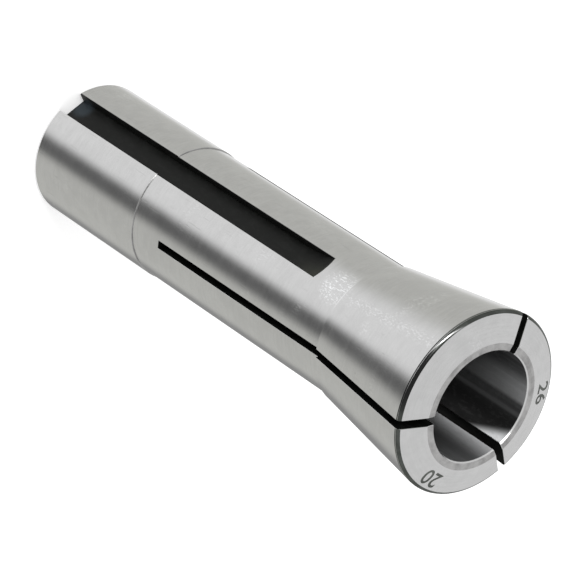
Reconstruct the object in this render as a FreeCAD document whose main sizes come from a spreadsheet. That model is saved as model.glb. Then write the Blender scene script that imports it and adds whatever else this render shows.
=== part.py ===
import FreeCAD, Part
import os
import Sketcher

# A spring collet for a milling spindle, turned, milled and slit from one bar of steel.
# Frame: millimetres, +Z along the axis from the drawbar end to the mouth, origin at the centre of
# the rear face. The collet stands on that face. The key slot faces -Y.

# Driving dimensions: plain sizes of the real piece, in millimetres and degrees.
SIZES = {
    # Outside, from the rear face to the mouth.
    "overall_length": 102.8,
    "shank_diameter": 24.10,
    "shank_length": 28.0,
    "rear_bevel": 0.5,
    "relief_diameter": 23.76,
    "taper_start": 77.05,
    "taper_small_diameter": 24.70,
    "taper_half_angle": 8.425,
    "mouth_corner_height": 101.4,
    "mouth_corner_radius": 0.7,
    # The mouth face rises to a flat ring round the bore.
    "ring_diameter": 21.8,
    "ring_edge_break": 0.2,
    # Bores, from the mouth to the rear face.
    "grip_diameter": 19.05,
    "grip_depth": 31.0,
    "clearance_diameter": 16.0,
    "drawbar_hole_diameter": 11.11,
    "drawbar_hole_depth": 30.0,
    "drawbar_mouth_bevel": 0.9,
    "drill_point_half_angle": 59.0,
    # Three slits, from the mouth towards the shank.
    "slit_width": 1.4,
    "slit_start": 35.0,
    "slit_count": 3,
    # One key slot, open at the rear, with the run-out of a side milling cutter at its front end.
    "key_slot_width": 4.76,
    "key_slot_depth": 2.38,
    "key_slot_length": 69.8,
    "key_cutter_radius": 20.0,
    # Cuts start this far outside the metal.
    "cut_overrun": 2.0,
}

doc = FreeCAD.newDocument("Collet")
sheet = doc.addObject("Spreadsheet::Sheet", "Sizes")
for row, (name, value) in enumerate(SIZES.items(), start=1):
    sheet.set(f"A{row}", name)
    sheet.set(f"B{row}", str(value))
    sheet.setAlias(f"B{row}", name)
doc.recompute()


def size(name):
    """The name of a driving dimension as an expression."""
    return f"Sizes.{name}"


# Expressions that several features share.
SHANK_RADIUS = f"{size('shank_diameter')} / 2"
RELIEF_RADIUS = f"{size('relief_diameter')} / 2"
RING_RADIUS = f"{size('ring_diameter')} / 2"
GRIP_RADIUS = f"{size('grip_diameter')} / 2"
CLEARANCE_RADIUS = f"{size('clearance_diameter')} / 2"
DRAWBAR_RADIUS = f"{size('drawbar_hole_diameter')} / 2"
TAPER_RISE = f"({size('mouth_corner_height')} - {size('taper_start')})"
HEAD_RADIUS = f"{size('taper_small_diameter')} / 2 + {TAPER_RISE} * tan({size('taper_half_angle')} * 1 deg)"
GRIP_END = f"{size('overall_length')} - {size('grip_depth')}"
KEY_FLOOR_RADIUS = f"{SHANK_RADIUS} - {size('key_slot_depth')}"


def origin_part(body, role):
    """A plane or axis of the body's own origin, by its role."""
    for feature in body.Origin.OriginFeatures:
        if feature.Role == role:
            return feature
    raise ValueError(role)


def new_sketch(body, name, role):
    sketch = body.newObject("Sketcher::SketchObject", name)
    sketch.AttachmentSupport = [(origin_part(body, role), "")]
    sketch.MapMode = "FlatFace"
    return sketch


def value_of(expression):
    """The present value of an expression of the sizes, for a first drawing of a sketch."""
    return float(sheet.evalExpression(expression))


def place_point(sketch, geometry, end, across, up, name):
    """Dimension a point from the sketch's origin: across it and up it."""
    for kind, expression, suffix in (("DistanceX", across, "across"), ("DistanceY", up, "up")):
        value = value_of(expression)
        index = sketch.addConstraint(Sketcher.Constraint(kind, -1, 1, geometry, end, value))
        sketch.renameConstraint(index, f"{name}_{suffix}")
        sketch.setExpression(f"Constraints.{name}_{suffix}", expression)


def draw_outline(sketch, points):
    """A closed outline of straight edges, each corner dimensioned by two expressions."""
    corners = [FreeCAD.Vector(value_of(across), value_of(up), 0) for _, across, up in points]
    count = len(corners)
    for index in range(count):
        sketch.addGeometry(Part.LineSegment(corners[index], corners[(index + 1) % count]), False)
    for index in range(count):
        sketch.addConstraint(Sketcher.Constraint("Coincident", index, 2, (index + 1) % count, 1))
    for index, (name, across, up) in enumerate(points):
        place_point(sketch, index, 1, across, up, name)


def volume(body):
    doc.recompute()
    return body.Shape.Volume


body = doc.addObject("PartDesign::Body", "Collet")
body.Label = "collet"

# The turned blank, drawn as one half section: radius across, height up.
HALF_SECTION = [
    ("rear_hole_lip", f"{DRAWBAR_RADIUS} + {size('drawbar_mouth_bevel')}", "0"),
    ("rear_face_edge", f"{SHANK_RADIUS} - {size('rear_bevel')}", "0"),
    ("shank_rear", SHANK_RADIUS, size("rear_bevel")),
    ("shank_front", SHANK_RADIUS, size("shank_length")),
    ("relief_rear", RELIEF_RADIUS, size("shank_length")),
    ("relief_front", RELIEF_RADIUS, size("taper_start")),
    ("taper_small_end", f"{size('taper_small_diameter')} / 2", size("taper_start")),
    ("mouth_corner", HEAD_RADIUS, size("mouth_corner_height")),
    ("ring_outer_edge", RING_RADIUS, size("overall_length")),
    ("ring_inner_edge", f"{GRIP_RADIUS} + {size('ring_edge_break')}", size("overall_length")),
    ("grip_mouth", GRIP_RADIUS, f"{size('overall_length')} - {size('ring_edge_break')}"),
    ("grip_end", GRIP_RADIUS, GRIP_END),
    ("clearance_front", CLEARANCE_RADIUS, f"{GRIP_END} - ({GRIP_RADIUS} - {CLEARANCE_RADIUS})"),
    ("clearance_rear", CLEARANCE_RADIUS,
     f"{size('drawbar_hole_depth')} + ({CLEARANCE_RADIUS} - {DRAWBAR_RADIUS})"
     f" / tan({size('drill_point_half_angle')} * 1 deg)"),
    ("drawbar_hole_end", DRAWBAR_RADIUS, size("drawbar_hole_depth")),
    ("drawbar_hole_mouth", DRAWBAR_RADIUS, size("drawbar_mouth_bevel")),
]
section = new_sketch(body, "HalfSection", "XZ_Plane")
draw_outline(section, HALF_SECTION)
doc.recompute()

blank = body.newObject("PartDesign::Revolution", "TurnedBlank")
blank.Profile = section
blank.ReferenceAxis = (origin_part(body, "Z_Axis"), [""])
blank.Angle = 360
section.Visibility = False
blank_volume = volume(body)

# The rounded outer corner of the mouth: the widest ring edge of the blank.
widest = max(
    (edge for edge in blank.Shape.Edges if len(edge.Vertexes) == 1),
    key=lambda edge: edge.BoundBox.XMax,
)
corner_name = f"Edge{[edge.isSame(widest) for edge in blank.Shape.Edges].index(True) + 1}"
corner = body.newObject("PartDesign::Fillet", "MouthCorner")
corner.Base = (blank, [corner_name])
corner.Radius = value_of(size("mouth_corner_radius"))
corner.setExpression("Radius", size("mouth_corner_radius"))
rounded_volume = volume(body)

# One slit, in the plane of Y and Z, from the axis out past the head and up past the mouth.
SLIT_OUTER = f"{HEAD_RADIUS} + {size('cut_overrun')}"
SLIT_TOP = f"{size('overall_length')} + {size('cut_overrun')}"
slit_sketch = new_sketch(body, "SlitSide", "YZ_Plane")
draw_outline(slit_sketch, [
    ("slit_foot_inner", "0", size("slit_start")),
    ("slit_foot_outer", SLIT_OUTER, size("slit_start")),
    ("slit_top_outer", SLIT_OUTER, SLIT_TOP),
    ("slit_top_inner", "0", SLIT_TOP),
])
doc.recompute()

slit = body.newObject("PartDesign::Pocket", "Slit")
slit.Profile = slit_sketch
slit.Type = "Length"
slit.Length = value_of(size("slit_width"))
slit.setExpression("Length", size("slit_width"))
slit.SideType = "Symmetric"
slit.Refine = False
slit_sketch.Visibility = False
one_slit_volume = volume(body)

# The slits repeat evenly round the axis.
slits = body.newObject("PartDesign::PolarPattern", "Slits")
slits.Originals = [slit]
slits.Axis = (origin_part(body, "Z_Axis"), [""])
slits.Angle = 360
slits.Occurrences = int(value_of(size("slit_count")))
slits.setExpression("Occurrences", size("slit_count"))
slits.Refine = False
body.Tip = slits
slit_volume = volume(body)

# The key slot, in side view: a level floor, then the cutter's arc up to the surface.
KEY_OUTSIDE = f"({SHANK_RADIUS} + {size('cut_overrun')})"
CUTTER = size("key_cutter_radius")
FRONT_DEPTH = f"({RELIEF_RADIUS} - ({KEY_FLOOR_RADIUS}))"
OUTSIDE_DEPTH = f"({KEY_OUTSIDE} - ({KEY_FLOOR_RADIUS}))"
RUN_OUT_START = f"{size('key_slot_length')} - sqrt(2 * {CUTTER} * {FRONT_DEPTH} - {FRONT_DEPTH} ^ 2)"
RUN_OUT_END = f"{RUN_OUT_START} + sqrt(2 * {CUTTER} * {OUTSIDE_DEPTH} - {OUTSIDE_DEPTH} ^ 2)"
KEY_CORNERS = [
    ("key_outside_rear", f"-{KEY_OUTSIDE}", f"-{size('cut_overrun')}"),
    ("key_floor_rear", f"-({KEY_FLOOR_RADIUS})", f"-{size('cut_overrun')}"),
    ("key_floor_front", f"-({KEY_FLOOR_RADIUS})", RUN_OUT_START),
    ("key_outside_front", f"-{KEY_OUTSIDE}", RUN_OUT_END),
]
key_sketch = new_sketch(body, "KeySlotSide", "YZ_Plane")
outside_rear, floor_rear, floor_front, outside_front = [
    FreeCAD.Vector(value_of(across), value_of(up), 0) for _, across, up in KEY_CORNERS
]
cutter_centre = floor_front - FreeCAD.Vector(value_of(CUTTER), 0, 0)
cutter_circle = Part.Circle(cutter_centre, FreeCAD.Vector(0, 0, 1), value_of(CUTTER))
front_angle = (outside_front - cutter_centre).getAngle(FreeCAD.Vector(1, 0, 0))
key_sketch.addGeometry(Part.LineSegment(outside_rear, floor_rear), False)
key_sketch.addGeometry(Part.LineSegment(floor_rear, floor_front), False)
key_sketch.addGeometry(Part.ArcOfCircle(cutter_circle, 0, front_angle), False)
key_sketch.addGeometry(Part.LineSegment(outside_front, outside_rear), False)
key_sketch.addConstraint(Sketcher.Constraint("Coincident", 0, 2, 1, 1))
key_sketch.addConstraint(Sketcher.Constraint("Coincident", 1, 2, 2, 1))
key_sketch.addConstraint(Sketcher.Constraint("Coincident", 2, 2, 3, 1))
key_sketch.addConstraint(Sketcher.Constraint("Coincident", 3, 2, 0, 1))
place_point(key_sketch, 0, 1, KEY_CORNERS[0][1], KEY_CORNERS[0][2], "key_outside_rear")
place_point(key_sketch, 1, 1, KEY_CORNERS[1][1], KEY_CORNERS[1][2], "key_floor_rear")
place_point(key_sketch, 2, 1, KEY_CORNERS[2][1], KEY_CORNERS[2][2], "key_floor_front")
place_point(key_sketch, 2, 2, KEY_CORNERS[3][1], KEY_CORNERS[3][2], "key_outside_front")
radius_index = key_sketch.addConstraint(Sketcher.Constraint("Radius", 2, value_of(CUTTER)))
key_sketch.renameConstraint(radius_index, "cutter_radius")
key_sketch.setExpression("Constraints.cutter_radius", CUTTER)
doc.recompute()

key_slot = body.newObject("PartDesign::Pocket", "KeySlot")
key_slot.Profile = key_sketch
key_slot.Type = "Length"
key_slot.Length = value_of(size("key_slot_width"))
key_slot.setExpression("Length", size("key_slot_width"))
key_slot.SideType = "Symmetric"
key_sketch.Visibility = False
body.Tip = key_slot
final_volume = volume(body)

# Every cut has to take metal away, and every object has to be sound.
print("volumes", blank_volume, rounded_volume, one_slit_volume, slit_volume, final_volume)
if not blank_volume > rounded_volume > one_slit_volume > slit_volume > final_volume > 0:
    raise SystemExit("a cut removed nothing")
for item in doc.Objects:
    if "Invalid" in item.State or "Error" in item.State:
        raise SystemExit(f"{item.Name} failed: {item.State}")
if body.Shape.isNull() or not body.Shape.isValid() or len(body.Shape.Solids) != 1:
    raise SystemExit("the collet is not one sound solid")

os.makedirs("parts", exist_ok=True)
body.Shape.exportStep(os.path.join("parts", f"{body.Label}.step"))
bounds = body.Shape.BoundBox
print("bounds", bounds.XMin, bounds.XMax, bounds.YMin, bounds.YMax, bounds.ZMin, bounds.ZMax)
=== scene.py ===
import math

import bpy
from mathutils import Matrix, Vector


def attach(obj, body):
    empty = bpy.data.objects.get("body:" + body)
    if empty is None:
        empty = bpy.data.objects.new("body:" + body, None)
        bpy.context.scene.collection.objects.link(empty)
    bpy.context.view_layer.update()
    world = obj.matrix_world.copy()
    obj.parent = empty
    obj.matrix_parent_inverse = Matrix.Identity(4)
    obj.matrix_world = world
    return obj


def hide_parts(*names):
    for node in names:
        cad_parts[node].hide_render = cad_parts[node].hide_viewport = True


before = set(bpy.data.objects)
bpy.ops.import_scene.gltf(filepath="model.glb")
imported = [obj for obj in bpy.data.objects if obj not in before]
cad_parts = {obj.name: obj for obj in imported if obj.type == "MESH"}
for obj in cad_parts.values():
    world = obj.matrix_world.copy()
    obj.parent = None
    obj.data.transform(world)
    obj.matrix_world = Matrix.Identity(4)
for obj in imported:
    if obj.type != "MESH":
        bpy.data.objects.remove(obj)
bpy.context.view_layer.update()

# Metres, +Z from the drawbar end to the mouth, the collet standing on its rear face.
# Pieces are drawn in millimetres and brought to metres when they are finished.
MM = 0.001

# Turned form: radii and heights, in millimetres.
SHANK_R, SHANK_END, REAR_BEVEL = 12.05, 28.0, 0.5
RELIEF_R = 11.88
TAPER_START, TAPER_SMALL_R, TAPER_ANGLE = 77.05, 12.35, math.radians(8.425)
CORNER_Z, CORNER_ROUND = 101.4, 0.7
MOUTH_Z, RING_R, RING_BREAK = 102.8, 10.9, 0.2
GRIP_R, GRIP_DEPTH, CLEAR_R = 9.525, 31.0, 8.0
DRAW_R, DRAW_DEPTH, DRAW_BEVEL = 5.555, 30.0, 0.9
DRILL_POINT = math.radians(59.0)
CORNER_R = TAPER_SMALL_R + (CORNER_Z - TAPER_START) * math.tan(TAPER_ANGLE)

# Milled and sawn cuts.
SLIT_HALF, SLIT_FOOT = 0.7, 35.0
SLIT_TURNS = (0.0, 120.0, 240.0)
KEY_HALF, KEY_DEPTH, KEY_LENGTH, KEY_CUTTER_R = 2.38, 2.38, 69.8, 20.0
LIP_BREAK, STEP_BREAK = 0.05, 0.06
OVERRUN = 2.0
SAW_CLEAR, SAW_BELOW = 0.3, 3.0
KEY_CLEAR = 4.4
MOUTH_SLOPE = (MOUTH_Z - CORNER_Z) / (CORNER_R - RING_R)

# Plain numbers on the mouth face, each with its direction in degrees.
NUMBERS = (("20", 25.0), ("26", 145.0))
ETCH_R, ETCH_SIZE, ETCH_BOLD, ETCH_DEPTH = 13.4, 3.9, 0.05, 0.07

# Drawbar thread, right-handed. It starts below the rear face and is faced off there.
PITCH, MINOR_R = 1.27, 4.87
THREAD_START, THREAD_TURNS, THREAD_ROOT = -1.0, 23, 0.05

# Fineness of the round forms, gaps that count as closed, and a hair's breadth to tell faces apart by.
SPIN_STEPS, THREAD_STEPS, BEVEL_STEPS, ARC_STEPS = 240, 48, 96, 16
SEAM, SLIVER, HAIR = 0.0005, 0.001, 0.01
SMOOTH_UNDER = math.radians(8.0)


# Drawing and cutting

def pick(piece):
    """Select one piece and nothing else."""
    bpy.ops.object.select_all(action="DESELECT")
    piece.select_set(True)
    bpy.context.view_layer.objects.active = piece


def edit(piece):
    """Open one piece in edit mode with all of it selected."""
    pick(piece)
    bpy.ops.object.mode_set(mode="EDIT")
    bpy.ops.mesh.select_all(action="SELECT")


def leave():
    bpy.ops.object.mode_set(mode="OBJECT")


def choose(piece, part, test):
    """Select those vertices, edges or faces of a piece in edit mode that pass a test."""
    modes = {"vertices": "VERT", "edges": "EDGE", "polygons": "FACE"}
    bpy.ops.mesh.select_mode(type=modes[part])
    bpy.ops.mesh.select_all(action="DESELECT")
    leave()
    for element in getattr(piece.data, part):
        element.select = test(element)
    bpy.ops.object.mode_set(mode="EDIT")


def draw_outline(name, corners, closed=True):
    """A line through the corners, drawn corner by corner."""
    bpy.ops.object.select_all(action="DESELECT")
    bpy.ops.mesh.primitive_plane_add(size=1.0)
    piece = bpy.context.object
    piece.name = piece.data.name = name
    edit(piece)
    bpy.ops.mesh.select_mode(type="VERT")
    bpy.ops.mesh.merge(type="CENTER")
    bpy.ops.transform.translate(value=corners[0])
    for here, there in zip(corners, corners[1:]):
        step = [b - a for a, b in zip(here, there)]
        bpy.ops.mesh.extrude_vertices_move(TRANSFORM_OT_translate={"value": step})
    if closed:
        ends = (Vector(corners[0]), Vector(corners[-1]))
        choose(piece, "vertices", lambda vertex: any((vertex.co - end).length < 0.001 for end in ends))
        bpy.ops.mesh.edge_face_add()
    bpy.ops.mesh.select_all(action="SELECT")
    return piece


def close_shell():
    """Close the seams of the piece in edit mode and point its faces outwards."""
    bpy.ops.mesh.select_all(action="SELECT")
    bpy.ops.mesh.remove_doubles(threshold=SEAM)
    bpy.ops.mesh.normals_make_consistent(inside=False)


def close_slivers(piece):
    """Merge the points that a cut left within a thousandth of a millimetre of each other."""
    edit(piece)
    bpy.ops.mesh.select_mode(type="VERT")
    bpy.ops.mesh.remove_doubles(threshold=SLIVER)
    leave()


def apply_modifier(piece, kind, **settings):
    pick(piece)
    modifier = piece.modifiers.new(kind.title(), kind)
    for name, value in settings.items():
        setattr(modifier, name, value)
    bpy.ops.object.modifier_apply(modifier=modifier.name)


def cut_away(piece, cutter):
    apply_modifier(piece, "BOOLEAN", operation="DIFFERENCE", solver="EXACT", object=cutter)


def discard(*pieces):
    for piece in pieces:
        bpy.data.objects.remove(piece)


def to_metres(piece):
    """Bring a finished piece from millimetres to metres, its place in its mesh."""
    pick(piece)
    piece.scale = (MM, MM, MM)
    bpy.ops.object.transform_apply(location=True, rotation=True, scale=True)


def smooth(piece):
    pick(piece)
    bpy.ops.object.shade_smooth_by_angle(angle=SMOOTH_UNDER)


def rounded(before, corner, after, radius, pieces):
    """Points of an arc of this radius that rounds a corner of a flat outline."""
    before, corner, after = Vector(before), Vector(corner), Vector(after)
    back, on = (before - corner).normalized(), (after - corner).normalized()
    half = back.angle(on) / 2
    centre = corner + (back + on).normalized() * radius / math.sin(half)
    start = corner + back * radius / math.tan(half) - centre
    end = corner + on * radius / math.tan(half) - centre
    turn = start.angle_signed(end)
    points = []
    for index in range(pieces + 1):
        angle = -turn * index / pieces
        across = start.x * math.cos(angle) - start.y * math.sin(angle)
        up = start.x * math.sin(angle) + start.y * math.cos(angle)
        points.append((centre.x + across, centre.y + up))
    return points


def runs(start, end, count):
    """Points between two corners, so that a long face is made of shorter ones."""
    return [
        tuple(a + (b - a) * index / count for a, b in zip(start, end))
        for index in range(1, count)
    ]


# The turned blank, as radius and height, round from the lip of the rear hole.
CORNER = (CORNER_R, CORNER_Z)
TAPER_FOOT = (TAPER_SMALL_R, TAPER_START)
RING_EDGE = (RING_R, MOUTH_Z)
GRIP_END = MOUTH_Z - GRIP_DEPTH
MOUTH_ROUND = rounded(TAPER_FOOT, CORNER, RING_EDGE, CORNER_ROUND, 18)
JAW_OUTSIDE = [
    (RELIEF_R, TAPER_START), TAPER_FOOT,
    *runs(TAPER_FOOT, MOUTH_ROUND[0], 4), *MOUTH_ROUND, RING_EDGE,
]
JAW_INSIDE = [
    (GRIP_R + RING_BREAK, MOUTH_Z), (GRIP_R, MOUTH_Z - RING_BREAK),
    *runs((GRIP_R, MOUTH_Z), (GRIP_R, GRIP_END), 5), (GRIP_R, GRIP_END),
    (CLEAR_R, GRIP_END - (GRIP_R - CLEAR_R)),
]
BLANK = [
    (DRAW_R + DRAW_BEVEL, 0.0), (SHANK_R - REAR_BEVEL, 0.0), (SHANK_R, REAR_BEVEL),
    *runs((SHANK_R, 0.0), (SHANK_R, SHANK_END), 5),
    (SHANK_R, SHANK_END - STEP_BREAK), (SHANK_R - STEP_BREAK, SHANK_END), (RELIEF_R, SHANK_END),
    *runs((RELIEF_R, SHANK_END), (RELIEF_R, TAPER_START), 9),
    *JAW_OUTSIDE, *JAW_INSIDE,
    *runs((CLEAR_R, GRIP_END), (CLEAR_R, DRAW_DEPTH), 7),
    (CLEAR_R, DRAW_DEPTH + (CLEAR_R - DRAW_R) / math.tan(DRILL_POINT)),
    (DRAW_R, DRAW_DEPTH), *runs((DRAW_R, DRAW_DEPTH), (DRAW_R, DRAW_BEVEL), 5), (DRAW_R, DRAW_BEVEL),
]


def offset_outline(points, distance):
    """A closed outline, counter-clockwise, moved outwards by a distance, its corners kept sharp."""
    moved = []
    for index, point in enumerate(points):
        before = Vector(point) - Vector(points[index - 1])
        after = Vector(points[(index + 1) % len(points)]) - Vector(point)
        side_before = Vector((before.y, -before.x)).normalized()
        side_after = Vector((after.y, -after.x)).normalized()
        reach = distance / (1 + side_before.dot(side_after))
        shift = (side_before + side_after) * reach
        moved.append((point[0] + shift.x, point[1] + shift.y))
    return moved


def turn_blank():
    blank = draw_outline("slit_collet", [(radius, 0.0, height) for radius, height in BLANK])
    bpy.ops.mesh.spin(
        steps=SPIN_STEPS, angle=2 * math.pi, center=(0, 0, 0), axis=(0, 0, 1), dupli=False)
    close_shell()
    leave()
    return blank


def slit_cutter():
    """A saw blade's cut through one wall, flared where it meets the surface so that its lips are broken."""
    below = SLIT_FOOT - SAW_BELOW
    wall = [(RELIEF_R, below), *JAW_OUTSIDE, *JAW_INSIDE, (CLEAR_R, below)]
    outline = offset_outline(wall, SAW_CLEAR)
    flare = LIP_BREAK + SAW_CLEAR
    half = SLIT_HALF + flare
    cutter = draw_outline("slit cutter", [(-half, across, height) for across, height in outline])
    bpy.ops.mesh.edge_face_add()
    bpy.ops.mesh.extrude_region_move(TRANSFORM_OT_translate={"value": (2 * half, 0, 0)})
    close_shell()
    choose(cutter, "polygons", lambda face: abs(face.normal.x) > 0.99)
    bpy.ops.mesh.inset(thickness=flare, depth=-flare, use_individual=True)
    bpy.ops.mesh.select_all(action="SELECT")
    bpy.ops.mesh.bisect(
        plane_co=(0, 0, SLIT_FOOT), plane_no=(0, 0, 1), use_fill=True, clear_inner=True)
    close_shell()
    leave()
    return cutter


def key_cutter():
    """The side milling cutter's path: a level floor, then its round run-out up past the surface."""
    floor = SHANK_R - KEY_DEPTH
    front = RELIEF_R - floor
    out = KEY_CUTTER_R
    centre_z = KEY_LENGTH - math.sqrt(2 * out * front - front * front)
    turns = [math.acos(1 - KEY_CLEAR / out) * index / ARC_STEPS for index in range(ARC_STEPS + 1)]
    arc = [(-floor - out + out * math.cos(turn), centre_z + out * math.sin(turn)) for turn in turns]
    side = [(arc[-1][0], -OVERRUN), (-floor, -OVERRUN), *arc]
    cutter = draw_outline("key slot cutter", [(-KEY_HALF, across, height) for across, height in side])
    bpy.ops.mesh.edge_face_add()
    bpy.ops.mesh.extrude_region_move(TRANSFORM_OT_translate={"value": (2 * KEY_HALF, 0, 0)})
    close_shell()
    leave()
    return cutter


def lip_file(side, radius, start, end):
    """A square bar on its edge, which breaks one long lip of the key slot."""
    lip = -math.sqrt(radius * radius - KEY_HALF * KEY_HALF)
    across = side * KEY_HALF
    corners = [
        (across + LIP_BREAK, lip, start), (across, lip + LIP_BREAK, start),
        (across - LIP_BREAK, lip, start), (across, lip - LIP_BREAK, start),
    ]
    bar = draw_outline("lip file", corners)
    bpy.ops.mesh.edge_face_add()
    bpy.ops.mesh.extrude_region_move(TRANSFORM_OT_translate={"value": (0, 0, end - start)})
    close_shell()
    leave()
    return bar


def etch_number(collet, number, turn):
    """Sink one plain number into the mouth face, its top outwards."""
    bpy.ops.object.select_all(action="DESELECT")
    bpy.ops.object.text_add()
    stamp = bpy.context.object
    letters = stamp.data
    letters.body, letters.size, letters.extrude, letters.resolution_u = number, ETCH_SIZE, ETCH_DEPTH * 3, 6
    letters.align_x, letters.align_y, letters.offset = "CENTER", "CENTER", ETCH_BOLD
    bpy.ops.object.convert(target="MESH")
    edit(stamp)
    close_shell()
    leave()
    angle, lean = math.radians(turn), math.atan(MOUTH_SLOPE)
    out = Vector((math.cos(angle), math.sin(angle), 0.0))
    across = Vector((out.y, -out.x, 0.0))
    up = out * math.cos(lean) - Vector((0.0, 0.0, math.sin(lean)))
    normal = across.cross(up)
    foot = out * ETCH_R + Vector((0.0, 0.0, MOUTH_Z - (ETCH_R - RING_R) * MOUTH_SLOPE))
    stamp.rotation_euler = Matrix((across, up, normal)).transposed().to_euler()
    stamp.location = foot + normal * ETCH_DEPTH * 2
    cut_away(collet, stamp)
    discard(stamp)


def cut_collet():
    collet = turn_blank()
    slit = slit_cutter()
    for turn in SLIT_TURNS:
        slit.rotation_euler.z = math.radians(turn)
        cut_away(collet, slit)
    key = key_cutter()
    cut_away(collet, key)
    discard(slit, key)
    for side in (-1, 1):
        for radius, start, end in ((SHANK_R, -1.0, SHANK_END), (RELIEF_R, SHANK_END, KEY_LENGTH - 0.4)):
            bar = lip_file(side, radius, start, end)
            cut_away(collet, bar)
            discard(bar)
    for number, turn in NUMBERS:
        etch_number(collet, number, turn)
    return collet


def cut_thread():
    """The crest of the drawbar thread, wound up the rear hole and faced off by its mouth bevel."""
    root = DRAW_R + THREAD_ROOT
    flank = (root - MINOR_R) * math.tan(math.radians(30.0))
    crest = PITCH / 4
    width = 2 * flank + crest
    ridge = draw_outline("drawbar_thread", [
        (root, 0.0, THREAD_START), (root, 0.0, THREAD_START + width),
        (MINOR_R, 0.0, THREAD_START + flank + crest), (MINOR_R, 0.0, THREAD_START + flank),
    ])
    leave()
    apply_modifier(
        ridge, "SCREW", angle=2 * math.pi, screw_offset=PITCH, iterations=THREAD_TURNS,
        steps=THREAD_STEPS, render_steps=THREAD_STEPS, use_normal_calculate=True, use_merge_vertices=False)
    edit(ridge)
    for start in (THREAD_START, THREAD_START + THREAD_TURNS * PITCH):
        choose(ridge, "vertices", lambda vertex: (
            start - HAIR < vertex.co.z < start + width + HAIR and abs(vertex.co.y) < HAIR < vertex.co.x))
        bpy.ops.mesh.edge_face_add()
    close_shell()
    leave()
    mouth = DRAW_R + DRAW_BEVEL + 0.02
    point = mouth - MINOR_R + 0.6
    cone = draw_outline("mouth bevel cutter", [
        (0.0, 0.0, -OVERRUN), (mouth + OVERRUN, 0.0, -OVERRUN), (mouth, 0.0, 0.0),
        (mouth - point, 0.0, point), (0.0, 0.0, point),
    ], closed=False)
    bpy.ops.mesh.spin(steps=BEVEL_STEPS, angle=2 * math.pi, center=(0, 0, 0), axis=(0, 0, 1), dupli=False)
    close_shell()
    leave()
    cut_away(ridge, cone)
    discard(cone)
    return ridge


# Finishes

def new_tree(tree):
    tree.nodes.clear()
    return tree


def put(tree, kind, inputs=None, **settings):
    """One node with its settings; each input is a number, a colour or another node's output."""
    node = tree.nodes.new("ShaderNode" + kind)
    for name, value in settings.items():
        setattr(node, name, value)
    for name, value in (inputs or {}).items():
        if isinstance(value, bpy.types.NodeSocket):
            tree.links.new(value, node.inputs[name])
        else:
            node.inputs[name].default_value = value
    return node


def maths(tree, operation, *values):
    return put(tree, "Math", dict(enumerate(values)), operation=operation).outputs[0]


def spread(tree, value, low, high, to_low, to_high, kind="SMOOTHSTEP"):
    """Read one range of a value as another."""
    inputs = {"Value": value, "From Min": low, "From Max": high, "To Min": to_low, "To Max": to_high}
    return put(tree, "MapRange", inputs, interpolation_type=kind).outputs["Result"]


def product(tree, first, *others):
    """Several values multiplied together."""
    for other in others:
        first = maths(tree, "MULTIPLY", first, other)
    return first


def stripe(tree, value, middle, full, gone, strength):
    """A soft stripe where a value is near its middle: at its strength up to full, faded out at gone."""
    away = maths(tree, "ABSOLUTE", maths(tree, "SUBTRACT", value, middle))
    return spread(tree, away, full, gone, strength, 0.0)


def axis_distance(tree, at):
    """How far a point is from the axis."""
    across, along = (maths(tree, "MULTIPLY", at[name], at[name]) for name in "XY")
    return maths(tree, "SQRT", maths(tree, "ADD", across, along))


def blend(tree, amount, first, second):
    inputs = {"Factor": amount, 6: first, 7: second}
    return put(tree, "Mix", inputs, data_type="RGBA").outputs[2]


def grey(value, warm=0.0):
    """A grey a little warmer or cooler than neutral."""
    return (value * (1 + warm), value, value * (1 - warm), 1.0)


def new_group(name, takes, gives):
    """An empty node group with named inputs and outputs."""
    group = bpy.data.node_groups.new(name, "ShaderNodeTree")
    for label, kind, value in takes:
        socket = group.interface.new_socket(label, in_out="INPUT", socket_type=kind)
        if value is not None:
            socket.default_value = value
    for label, kind in gives:
        group.interface.new_socket(label, in_out="OUTPUT", socket_type=kind)
    return group, group.nodes.new("NodeGroupInput"), group.nodes.new("NodeGroupOutput")


def noise(tree, place, scale, detail=2.0, roughness=0.5):
    inputs = {"Vector": place, "Scale": scale, "Detail": detail, "Roughness": roughness}
    return put(tree, "TexNoise", inputs).outputs["Fac"]


def in_mm(tree, position):
    return put(tree, "VectorMath", {0: position, "Scale": 1000.0}, operation="SCALE").outputs[0]


def lay_group():
    """Fine lines that run round the collet, as turning and grinding leave them, and a slow cloud."""
    group, given, made = new_group(
        "turning_lay",
        [("Position", "NodeSocketVector", None), ("Lines per mm", "NodeSocketFloat", 6.0),
         ("Waver", "NodeSocketFloat", 0.15)],
        [("Lines", "NodeSocketFloat"), ("Cloud", "NodeSocketFloat")])
    place = in_mm(group, given.outputs["Position"])
    at = put(group, "SeparateXYZ", {"Vector": place}).outputs
    angle = maths(group, "MULTIPLY", maths(group, "ARCTAN2", at["Y"], at["X"]), given.outputs["Waver"])
    rate = given.outputs["Lines per mm"]
    turned = put(group, "CombineXYZ", {
        "X": maths(group, "MULTIPLY", axis_distance(group, at), rate),
        "Y": maths(group, "MULTIPLY", at["Z"], rate),
        "Z": angle,
    }).outputs[0]
    group.links.new(noise(group, turned, 1.0, 2.0, 0.6), made.inputs["Lines"])
    group.links.new(noise(group, place, 0.45, 5.0, 0.62), made.inputs["Cloud"])
    return group


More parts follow.
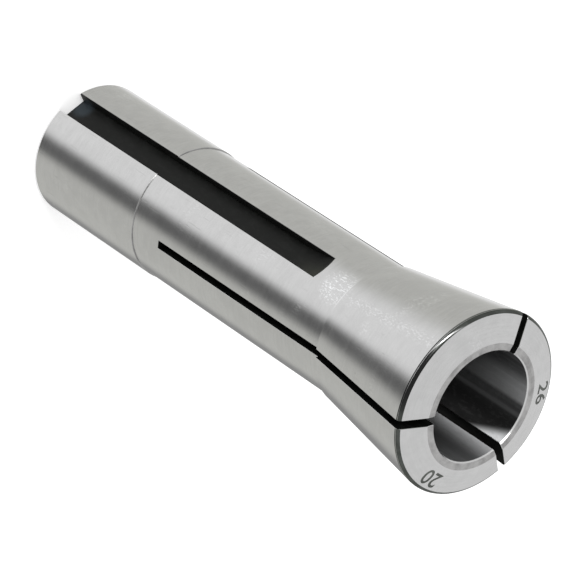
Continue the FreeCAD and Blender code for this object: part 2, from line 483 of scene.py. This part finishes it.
def wear_group():
    """What handling leaves: nicks in clusters, hair lines along the collet, and soft smudges."""
    group, given, made = new_group(
        "handling_wear",
        [("Position", "NodeSocketVector", None), ("Nicks per mm", "NodeSocketFloat", 2.6),
         ("Scuffed", "NodeSocketFloat", 0.0)],
        [("Nicks", "NodeSocketFloat"), ("Hair lines", "NodeSocketFloat"), ("Smudge", "NodeSocketFloat")])
    place = in_mm(group, given.outputs["Position"])
    cluster = spread(group, noise(group, place, 0.17, 1.0), 0.60, 0.80, 0.0, 0.32)
    where = maths(group, "MAXIMUM", cluster, given.outputs["Scuffed"])
    drawn = put(group, "Mapping", {"Vector": place, "Rotation": (0.5, 0.3, 0.0), "Scale": (1.0, 1.0, 0.4)})
    grain = noise(group, drawn.outputs[0], given.outputs["Nicks per mm"], 3.0, 0.65)
    nicks = maths(group, "MULTIPLY", spread(group, grain, 0.52, 0.60, 0.0, 1.0), where)
    strands = []
    for turn in ((0.25, 0.15, 0.0), (-0.7, 0.45, 0.0)):
        drawn = put(group, "Mapping", {"Vector": place, "Rotation": turn, "Scale": (3.2, 3.2, 0.22)})
        strands.append(spread(group, noise(group, drawn.outputs[0], 1.0, 1.0), 0.70, 0.76, 0.0, 1.0))
    smudge = noise(group, place, 0.13, 3.0, 0.6)
    handled = spread(group, smudge, 0.42, 0.6, 0.0, 1.0)
    group.links.new(nicks, made.inputs["Nicks"])
    group.links.new(product(group, maths(group, "MAXIMUM", *strands), handled), made.inputs["Hair lines"])
    group.links.new(smudge, made.inputs["Smudge"])
    return group


def place_group(tree, group, **inputs):
    node = tree.nodes.new("ShaderNodeGroup")
    node.node_tree = group
    for name, value in inputs.items():
        label = name.replace("_", " ")
        if isinstance(value, bpy.types.NodeSocket):
            tree.links.new(value, node.inputs[label])
        else:
            node.inputs[label].default_value = value
    return node.outputs


LAY = lay_group()
WEAR = wear_group()

# Worn and stained places, and patches of painted highlight and painted shade, in metres: the middle of each
# patch and its reach.
NECK_SCUFF = (0.0016, -0.0118, 0.0745), 0.0040
RIM_HIGHLIGHT = (0.0019, -0.0118, 0.0770), 0.0040
CORNER_HIGHLIGHT = (0.0006, -0.0158, 0.1014), 0.0042
CORNER_SHADE = (0.0079, -0.0137, 0.1013), 0.0085
KEY_OIL = (-0.0012, -0.0097, 0.0016), 0.0026


def new_finish(name):
    material = bpy.data.materials.new(name)
    material.use_nodes = True
    tree = new_tree(material.node_tree)
    shader = put(tree, "BsdfPrincipled")
    output = put(tree, "OutputMaterial")
    tree.links.new(shader.outputs[0], output.inputs["Surface"])
    position = put(tree, "TexCoord").outputs["Object"]
    return material, tree, shader, position


def feed(tree, shader, **inputs):
    """Join a worked-out colour or value to the shader's own socket."""
    for name, value in inputs.items():
        tree.links.new(value, shader.inputs[name.replace("_", " ")])


def scuff(tree, position, middle, reach):
    """A round patch, full in its middle and faded out at its reach."""
    away = put(tree, "VectorMath", {0: position, 1: middle}, operation="DISTANCE").outputs["Value"]
    return spread(tree, away, reach * 0.35, reach, 1.0, 0.0)


def ground_steel(name, tone, rough):
    """Hardened steel, ground bright, with the marks of handling on it and a painted highlight along the edge
    at the foot of the taper.
    """
    material, tree, shader, position = new_finish(name)
    lay = place_group(tree, LAY, Position=position, Lines_per_mm=3.4, Waver=3.0)
    at = put(tree, "SeparateXYZ", {"Vector": position}).outputs
    neck = scuff(tree, position, *NECK_SCUFF)
    rim_highlight_patch = scuff(tree, position, *RIM_HIGHLIGHT)
    trail = product(
        tree,
        stripe(tree, at["X"], 0.0024, 0.0002, 0.0017, 0.34),
        spread(tree, at["Z"], 0.0768, 0.0785, 0.0, 1.0),
        spread(tree, at["Z"], 0.1006, 0.1013, 1.0, 0.0),
        spread(tree, at["Y"], -0.0115, -0.0105, 1.0, 0.0))
    worn = maths(tree, "MAXIMUM", neck, trail)
    wear = place_group(tree, WEAR, Position=position, Nicks_per_mm=3.6, Scuffed=worn)
    shade = maths(tree, "MULTIPLY", lay["Cloud"], 0.4)
    shade = maths(tree, "ADD", shade, maths(tree, "MULTIPLY", lay["Lines"], 0.3))
    shade = maths(tree, "ADD", shade, maths(tree, "MULTIPLY", wear["Smudge"], 0.3))
    colour = blend(tree, spread(tree, shade, 0.36, 0.64, 0.0, 1.0), grey(tone * 0.95), grey(tone * 1.04))
    colour = blend(tree, maths(tree, "MULTIPLY", wear["Hair lines"], 0.35), colour, grey(tone * 0.72))
    # Painted highlight: a bright line along the edge at the foot of the taper, in one patch on the front of
    # the neck. The nicks blended in with it are real wear.
    edge = product(tree, stripe(tree, at["Z"], TAPER_START * MM - 0.00012, 0.00012, 0.00040, 0.65), rim_highlight_patch)
    nicks_and_highlight = maths(tree, "MAXIMUM", wear["Nicks"], edge)
    nicks_and_highlight = maths(tree, "MAXIMUM", nicks_and_highlight, maths(tree, "MULTIPLY", neck, 0.1))
    colour = blend(tree, nicks_and_highlight, colour, grey(0.95, -0.01))
    gloss = spread(tree, shade, 0.3, 0.7, rough * 0.9, rough * 1.1)
    gloss = maths(tree, "ADD", gloss, maths(tree, "MULTIPLY", nicks_and_highlight, 0.12))
    relief = maths(tree, "MULTIPLY", lay["Lines"], 0.5)
    relief = maths(tree, "SUBTRACT", relief, maths(tree, "MULTIPLY", nicks_and_highlight, 2.0))
    relief = maths(tree, "SUBTRACT", relief, maths(tree, "MULTIPLY", wear["Hair lines"], 0.8))
    bump = put(tree, "Bump", {"Strength": 1.0, "Distance": 0.0000025, "Height": relief})
    feed(tree, shader, Base_Color=colour, Roughness=gloss, Normal=bump.outputs[0])
    shader.inputs["Metallic"].default_value = 1.0
    return material


def turned_steel(name, tone, rough, contrast):
    """Steel left as the tool cut it: duller than the ground faces, and blotched."""
    material, tree, shader, position = new_finish(name)
    lay = place_group(tree, LAY, Position=position, Lines_per_mm=5.0, Waver=2.0)
    wear = place_group(tree, WEAR, Position=position, Nicks_per_mm=1.6, Scuffed=0.35)
    blotch = maths(tree, "MULTIPLY", lay["Cloud"], 0.8)
    blotch = maths(tree, "ADD", blotch, maths(tree, "MULTIPLY", lay["Lines"], 0.2))
    dark, light = grey(tone * (1 - contrast), 0.008), grey(tone * (1 + contrast), 0.008)
    colour = blend(tree, spread(tree, blotch, 0.36, 0.64, 0.0, 1.0), dark, light)
    colour = blend(tree, maths(tree, "MULTIPLY", wear["Nicks"], 0.4), colour, grey(tone * 1.7))
    gloss = spread(tree, blotch, 0.3, 0.7, rough * 0.85, rough * 1.15)
    bump = put(tree, "Bump", {"Strength": 1.0, "Distance": 0.000004, "Height": lay["Lines"]})
    feed(tree, shader, Base_Color=colour, Roughness=gloss, Normal=bump.outputs[0])
    shader.inputs["Metallic"].default_value = 1.0
    return material


def bore_painted_light(tree, at):
    """Painted light on the bore: a lit corner at the mouth with a slanted edge, a lit face beside it, and a
    highlight streak.
    """
    slant = maths(tree, "ADD", at["X"], maths(tree, "MULTIPLY", at["Z"], 0.38))
    corner = product(
        tree,
        spread(tree, slant, 0.0351, 0.0371, 0.0, 1.0),
        spread(tree, at["X"], -0.0004, 0.0004, 1.0, 0.0))
    face = product(
        tree,
        spread(tree, at["Z"], 0.076, 0.094, 0.0, 1.0),
        spread(tree, at["X"], 0.0005, 0.0046, 1.0, 0.15),
        spread(tree, at["X"], -0.0004, 0.0004, 0.0, 1.0))
    streak = product(
        tree,
        spread(tree, at["Y"], 0.0008, 0.0052, 0.0, 1.0),
        spread(tree, at["Y"], 0.0062, 0.0068, 1.0, 0.0),
        spread(tree, at["Z"], 0.086, 0.103, 0.1, 0.7, "LINEAR"))
    streak = maths(tree, "MAXIMUM", streak, stripe(tree, at["Y"], 0.0077, 0.00005, 0.00035, 0.13))
    streak = product(tree, streak, spread(tree, at["X"], -0.0050, -0.0030, 1.0, 0.0))
    upper = product(tree, maths(tree, "MAXIMUM", corner, face), spread(tree, at["Y"], 0.0, 0.0060, 0.0, 1.0))
    return maths(tree, "MAXIMUM", upper, streak), corner, face


def bored_steel(name, tone, rough):
    """The grip bore: dark from hardening, with painted light near the mouth and painted shade deeper in on
    the far side.
    """
    material, tree, shader, position = new_finish(name)
    lay = place_group(tree, LAY, Position=position, Lines_per_mm=4.0, Waver=1.5)
    wear = place_group(tree, WEAR, Position=position, Nicks_per_mm=1.8, Scuffed=0.3)
    at = put(tree, "SeparateXYZ", {"Vector": position}).outputs
    painted_bore_light, corner, face = bore_painted_light(tree, at)
    drag = put(tree, "Mapping", {"Vector": in_mm(tree, position), "Scale": (0.55, 0.55, 0.02)}).outputs[0]
    drag = spread(tree, noise(tree, drag, 1.0, 2.0), 0.46, 0.66, 0.0, 1.0)
    blotch = maths(tree, "MULTIPLY", spread(tree, lay["Cloud"], 0.35, 0.65, 0.4, 1.0), drag)
    # Painted shade: darker deep on the far side of the bore, where its wall lies in shadow.
    shade = product(
        tree,
        spread(tree, at["Y"], 0.0072, 0.0088, 0.0, 1.0),
        spread(tree, at["X"], -0.001, 0.0, 1.0, 0.0))
    stain_and_shade = blend(tree, blotch, grey(tone * 0.7, -0.01), grey(tone * 1.8, -0.015))
    stain_and_shade = blend(tree, shade, stain_and_shade, grey(tone * 0.3))
    lit_bore_colour = blend(tree, blotch, grey(tone * 7.2, -0.012), grey(tone * 9.4, -0.012))
    # Painted light: the lit patch and the highlight streak are painted into the colour as bright steel.
    colour = blend(tree, painted_bore_light, stain_and_shade, lit_bore_colour)
    colour = blend(tree, maths(tree, "MULTIPLY", wear["Nicks"], 0.3), colour, grey(tone * 1.9))
    gloss = spread(tree, blotch, 0.0, 1.0, rough * 1.12, rough * 0.88)
    gloss = maths(tree, "ADD", gloss, maths(tree, "MULTIPLY", corner, 0.10))
    gloss = maths(tree, "ADD", gloss, maths(tree, "MULTIPLY", face, 0.06))
    bump = put(tree, "Bump", {"Strength": 1.0, "Distance": 0.000003, "Height": lay["Lines"]})
    feed(tree, shader, Base_Color=colour, Roughness=gloss, Normal=bump.outputs[0])
    shader.inputs["Metallic"].default_value = 1.0
    shader.inputs["Anisotropic"].default_value = 0.9
    shader.inputs["Anisotropic Rotation"].default_value = 0.25
    return material


def oxide(name, tone, rough, level, bending=1.5, lighter_slot_ends=False):
    """The black that hardening leaves on steel, in cuts that were not ground again."""
    material, tree, shader, position = new_finish(name)
    lay = place_group(tree, LAY, Position=position, Lines_per_mm=3.0, Waver=2.0)
    wear = place_group(tree, WEAR, Position=position, Nicks_per_mm=1.2, Scuffed=0.15)
    low = (tone * 0.85, tone * 0.92, tone * 0.82, 1.0)
    high = (tone * 1.5, tone * 1.6, tone * 1.45, 1.0)
    colour = blend(tree, spread(tree, lay["Cloud"], 0.35, 0.7, 0.0, 1.0), low, high)
    colour = blend(tree, maths(tree, "MULTIPLY", wear["Nicks"], 0.12), colour, grey(0.16))
    if lighter_slot_ends:
        # The slot's floor is made lighter towards the run-out end and the +X side.
        at = put(tree, "SeparateXYZ", {"Vector": position}).outputs
        out = product(
            tree,
            spread(tree, at["Z"], 0.061, 0.0695, 0.0, 1.0),
            spread(tree, at["X"], -0.0012, 0.0022, 0.0, 1.0))
        colour = blend(tree, out, colour, (0.032, 0.034, 0.026, 1.0))
        colour = blend(tree, scuff(tree, position, *KEY_OIL), colour, (0.034, 0.044, 0.052, 1.0))
    gloss = spread(tree, lay["Cloud"], 0.3, 0.7, rough * 0.85, rough * 1.15)
    bump = put(tree, "Bump", {"Strength": 1.0, "Distance": 0.000006, "Height": lay["Lines"]})
    feed(tree, shader, Base_Color=colour, Roughness=gloss, Normal=bump.outputs[0])
    shader.inputs["Metallic"].default_value = 0.0
    shader.inputs["Specular IOR Level"].default_value = level
    shader.inputs["IOR"].default_value = bending
    return material


def corner_oxide(name, tone, rough):
    """The rounded corner of the mouth: dark from hardening, with a painted highlight along its crest on one
    jaw and a patch of painted shade beside it.
    """
    material, tree, shader, position = new_finish(name)
    lay = place_group(tree, LAY, Position=position, Lines_per_mm=6.0, Waver=1.0)
    at = put(tree, "SeparateXYZ", {"Vector": in_mm(tree, position)}).outputs
    up_and_in = maths(tree, "SUBTRACT", at["Z"], axis_distance(tree, at))
    up_and_in = maths(tree, "ADD", up_and_in, maths(tree, "MULTIPLY", at["X"], 0.13))
    # Painted highlight: a bright line along the crest of the corner, in one patch, painted into the colour.
    crest = stripe(tree, up_and_in, CORNER_Z - CORNER_R + 0.27, 0.06, 0.20, 1.0)
    painted_crest_highlight = product(tree, crest, scuff(tree, position, *CORNER_HIGHLIGHT))
    # Painted shade: the corner band darkened in one patch beside the highlight.
    painted_shade_patch = scuff(tree, position, *CORNER_SHADE)
    dark = (tone * 0.85, tone * 0.92, tone * 0.84, 1.0)
    light = (tone * 1.3, tone * 1.4, tone * 1.3, 1.0)
    colour = blend(tree, spread(tree, lay["Cloud"], 0.35, 0.65, 0.0, 1.0), dark, light)
    colour = blend(tree, painted_shade_patch, colour, grey(tone * 0.3))
    colour = blend(tree, painted_crest_highlight, colour, grey(0.7))
    gloss = spread(tree, lay["Cloud"], 0.3, 0.7, rough * 0.85, rough * 1.15)
    bump = put(tree, "Bump", {"Strength": 1.0, "Distance": 0.000002, "Height": lay["Lines"]})
    feed(tree, shader, Base_Color=colour, Roughness=gloss, Normal=bump.outputs[0])
    shader.inputs["Metallic"].default_value = 1.0
    return material


GROUND = ground_steel("ground_steel", 0.62, 0.19)
FACED = turned_steel("faced_steel", 0.38, 0.34, 0.22)
BORED = bored_steel("bored_steel", 0.10, 0.46)
BLACK = oxide("black_oxide", 0.006, 0.48, 0.16)
MILLED_BLACK = oxide("milled_black", 0.006, 0.48, 0.16, lighter_slot_ends=True)
SAWN_BLACK = oxide("sawn_black", 0.005, 0.5, 0.08, bending=1.15)
CORNER_BLACK = corner_oxide("black_corner", 0.075, 0.24)
ETCHED = oxide("etched_black", 0.07, 0.5, 0.3)


def slit_places():
    """Direction across each slit, and direction out along it."""
    for turn in SLIT_TURNS:
        angle = math.radians(90.0 + turn)
        out = Vector((math.cos(angle), math.sin(angle), 0.0))
        yield Vector((out.y, -out.x, 0.0)), out


def is_slit_wall(centre, normal):
    """On a flat side of a slit, or on its foot."""
    if centre.z < SLIT_FOOT - HAIR:
        return False
    for across, out in slit_places():
        inside = out.dot(centre) > 0 and abs(across.dot(centre)) < SLIT_HALF + HAIR
        side = abs(across.dot(normal)) > 0.99
        foot = normal.z > 0.99 and centre.z < SLIT_FOOT + 0.1
        if inside and abs(out.dot(normal)) < 0.1 and (side or foot):
            return True
    return False


def is_key_wall(centre, normal):
    """On a side or the floor of the key slot, and not in the hole below it."""
    radius = math.hypot(centre.x, centre.y)
    inside = centre.y < 0 and abs(centre.x) < KEY_HALF + HAIR and centre.z < KEY_LENGTH + 0.1
    wall = abs(normal.x) > 0.99
    floor = abs(normal.x) < 0.02 and radius < SHANK_R - 0.25 and normal.y < -0.5
    return inside and radius > KEY_HALF + 6.0 and (wall or floor)


def is_etched(centre):
    """Inside one of the plain numbers: below the mouth face, between the ring and the corner."""
    radius = math.hypot(centre.x, centre.y)
    below = MOUTH_Z - (radius - RING_R) * MOUTH_SLOPE - centre.z
    return RING_R + 0.3 < radius < CORNER_R - 0.9 and 0.004 < below < 2 * ETCH_DEPTH


def finish_of(centre, normal):
    """Which finish a face of the collet has, from its place and the way it faces, in millimetres."""
    radius = math.hypot(centre.x, centre.y)
    outward = (normal.x * centre.x + normal.y * centre.y) / radius
    round_foot_r, round_foot_z = MOUTH_ROUND[0]
    if is_slit_wall(centre, normal):
        return SAWN_BLACK
    if is_key_wall(centre, normal):
        return MILLED_BLACK
    if is_etched(centre):
        return ETCHED
    if abs(centre.z - SHANK_END) < 0.1 and radius > RELIEF_R and normal.z > 0.3:
        return FACED
    if radius > RING_R + 3.0 and centre.z > round_foot_z and 0.28 < normal.z < 0.999 and outward > 0.28:
        return CORNER_BLACK
    if radius > round_foot_r - HAIR and centre.z > round_foot_z - SLIVER:
        return CORNER_BLACK
    if radius < RING_R and centre.z > GRIP_END - HAIR and outward < -0.9:
        return BORED
    if radius < RING_R + SLIVER and centre.z > MOUTH_Z - SLIVER:
        return FACED
    if radius < CLEAR_R + 1.6 and outward < 0.0 and 0.0 < centre.z < GRIP_END + 0.1:
        return BLACK
    return GROUND


def lay_on(piece):
    """Give every face of the collet its finish."""
    finishes = [GROUND, FACED, BORED, BLACK, MILLED_BLACK, SAWN_BLACK, CORNER_BLACK, ETCHED]
    piece.data.materials.clear()
    for material in finishes:
        piece.data.materials.append(material)
    for face in piece.data.polygons:
        face.material_index = finishes.index(finish_of(face.center, face.normal))


collet = cut_collet()
thread = cut_thread()
lay_on(collet)
thread.data.materials.append(BLACK)
for piece in (collet, thread):
    close_slivers(piece)
    to_metres(piece)
    smooth(piece)
    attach(piece, "root")
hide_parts("collet")


# The studio

WHITE = (1.0, 1.0, 1.0, 1.0)
FLOOR_SIZE, FLOOR_LIFT = 6.0, 0.35


def lay_floor():
    """A plain pale sheet that the camera sees as white, with the shadow kept."""
    bpy.ops.object.select_all(action="DESELECT")
    bpy.ops.mesh.primitive_plane_add(size=FLOOR_SIZE)
    floor = bpy.context.object
    floor.name = "floor"
    material = bpy.data.materials.new("pale_floor")
    material.use_nodes = True
    tree = new_tree(material.node_tree)
    paint = put(tree, "BsdfDiffuse", {"Color": grey(0.9)})
    seen = put(tree, "LightPath").outputs["Is Camera Ray"]
    lift = put(tree, "Emission", {"Color": WHITE, "Strength": maths(tree, "MULTIPLY", seen, FLOOR_LIFT)})
    both = put(tree, "AddShader", {0: paint.outputs[0], 1: lift.outputs[0]})
    output = put(tree, "OutputMaterial")
    tree.links.new(both.outputs[0], output.inputs["Surface"])
    floor.data.materials.append(material)
    floor.visible_glossy = False


# A pale tent and ceiling, as red, green and blue.
TENT, CEILING = (0.65, 0.65, 0.62, 1.0), (0.85, 0.85, 0.85, 1.0)

# Soft boxes and dark cards that stand round the collet. The ground steel mirrors them as long bright
# and dark bands. Each has its azimuth, half width and soft edge in degrees, and its brightness.
STANDS = (
    (-80.0, 25.0, 40.0, 1.0),
    (130.0, 5.0, 20.0, 1.0),
    (-30.0, 5.0, 20.0, 0.15),
    (90.0, 5.0, 25.0, 0.3),
)


def hang_surround():
    """A pale tent round the collet, with soft boxes and dark cards in it, under a pale ceiling."""
    world = bpy.data.worlds.new("studio")
    bpy.context.scene.world = world
    world.use_nodes = True
    tree = new_tree(world.node_tree)
    way = put(tree, "TexCoord").outputs["Generated"]
    at = put(tree, "SeparateXYZ", {"Vector": way}).outputs
    turn = maths(tree, "DEGREES", maths(tree, "ARCTAN2", at["Y"], at["X"]))
    sides = TENT
    for azimuth, half_width, edge, brightness in STANDS:
        away = maths(tree, "WRAP", maths(tree, "SUBTRACT", turn, azimuth), 180.0, -180.0)
        away = maths(tree, "ABSOLUTE", away)
        seen_by_steel = spread(tree, away, half_width, half_width + edge, 1.0, 0.0)
        sides = blend(tree, seen_by_steel, sides, grey(brightness))
    light = blend(tree, spread(tree, at["Z"], -0.12, 0.08, 0.0, 1.0), sides, CEILING)
    seen = put(tree, "LightPath").outputs["Is Camera Ray"]
    shown = blend(tree, seen, light, WHITE)
    background = put(tree, "Background", {"Color": shown, "Strength": 1.0})
    output = put(tree, "OutputWorld")
    tree.links.new(background.outputs[0], output.inputs["Surface"])


def hang_lamp(name, azimuth, elevation, distance, size, power):
    """A soft square lamp, aimed at the middle of the collet."""
    middle = Vector((0.0, 0.0, 0.05))
    turn, rise = math.radians(azimuth), math.radians(elevation)
    way = Vector((math.cos(turn) * math.cos(rise), math.sin(turn) * math.cos(rise), math.sin(rise)))
    data = bpy.data.lights.new(name, "AREA")
    data.shape, data.size, data.energy = "SQUARE", size, power
    lamp = bpy.data.objects.new(name, data)
    bpy.context.scene.collection.objects.link(lamp)
    lamp.location = middle + way * distance
    lamp.rotation_euler = (-way).to_track_quat("-Z", "Y").to_euler()


# The camera's place in metres, its turn in degrees and its lens in millimetres.
CAMERA_PLACE, CAMERA_TURN = (0.18781, -0.42933, 0.47591), (-31.646814, -38.304772, 158.322623)
CAMERA_LENS, CAMERA_SENSOR = 243.16, 36.0


def set_camera():
    data = bpy.data.cameras.new("camera")
    data.sensor_fit, data.sensor_width, data.lens = "HORIZONTAL", CAMERA_SENSOR, CAMERA_LENS
    data.clip_start, data.clip_end = 0.05, 20.0
    camera = bpy.data.objects.new("camera", data)
    bpy.context.scene.collection.objects.link(camera)
    camera.location = CAMERA_PLACE
    camera.rotation_euler = [math.radians(angle) for angle in CAMERA_TURN]
    bpy.context.scene.camera = camera


lay_floor()
hang_surround()
hang_lamp("key_lamp", azimuth=-101.0, elevation=45.0, distance=0.9, size=0.35, power=2.5)
set_camera()
bpy.context.scene.view_settings.view_transform = "Standard"
